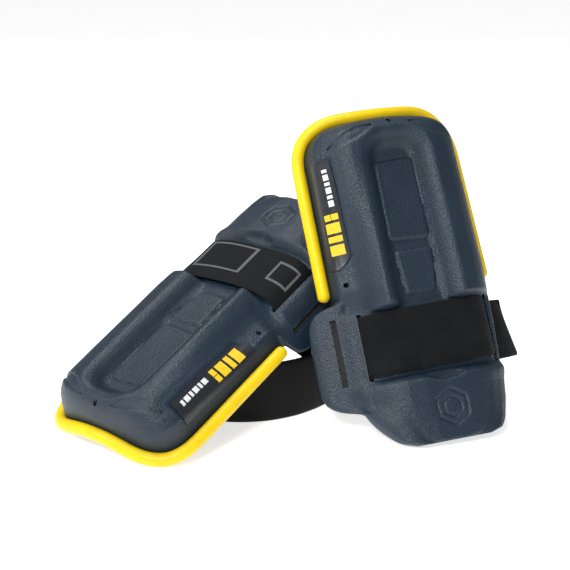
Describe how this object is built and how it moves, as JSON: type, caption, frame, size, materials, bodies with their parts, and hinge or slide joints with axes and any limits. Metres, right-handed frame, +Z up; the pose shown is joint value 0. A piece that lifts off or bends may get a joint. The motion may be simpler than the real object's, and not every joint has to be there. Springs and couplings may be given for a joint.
{
  "type": "knee pads",
  "caption": "Two moulded foam knee pads with a bright bead round the knee end, an elastic strap through the waist slots and a peel-open strap end, one leaning on the other",
  "frame": {"origin": "On the ground under the middle of the pair's footprint.", "axes": "+Z is up, +X runs from the lying pad to the standing one, and +Y runs away behind the pair."},
  "size_m": [0.389, 0.2426, 0.2473],
  "materials": {
    "foam": "moulded skin with a fine pebble grain",
    "bead": "smooth satin",
    "label": "satin",
    "cushion": "soft knitted cloth over foam",
    "elastic": "ribbed woven elastic",
    "hook_and_loop": "looped pile"
  },
  "bodies": {
    "lying_pad": {"shell_lying": "foam", "rim_bead_lying": "bead", "label_plate_lying": "label", "knee_cushion_lying": "cushion", "shin_cushion_lying": "cushion", "front_strap_lying": "elastic", "leg_strap_lying": "elastic", "loop_patch_lying": "hook_and_loop"},
    "standing_pad": {"shell_standing": "foam", "rim_bead_standing": "bead", "label_plate_standing": "label", "knee_cushion_standing": "cushion", "shin_cushion_standing": "cushion", "front_strap_standing": "elastic", "leg_strap_standing": "elastic", "loop_patch_standing": "hook_and_loop"},
    "lying_tab": {"hook_patch_lying": "hook_and_loop", "strap_tab_lying": "elastic"},
    "standing_tab": {"hook_patch_standing": "hook_and_loop", "strap_tab_standing": "elastic"}
  },
  "joints": [
    {"name": "standing_pad_lift", "type": "slide", "parent": "lying_pad", "child": "standing_pad", "axis": [0, 0, 1], "range_m": [0, 0.08]},
    {"name": "lying_tab_peel", "type": "hinge", "parent": "lying_pad", "child": "lying_tab", "pos_m": [-0.11598, 0.0726, 0.02525], "axis": [-0.0137, -0.0154, -0.9998], "range_deg": [0, 100]},
    {"name": "standing_tab_peel", "type": "hinge", "parent": "standing_pad", "child": "standing_tab", "pos_m": [0.10595, 0.05051, 0.04776], "axis": [0.2052, -0.4058, -0.8906], "range_deg": [0, 100]}
  ]
}
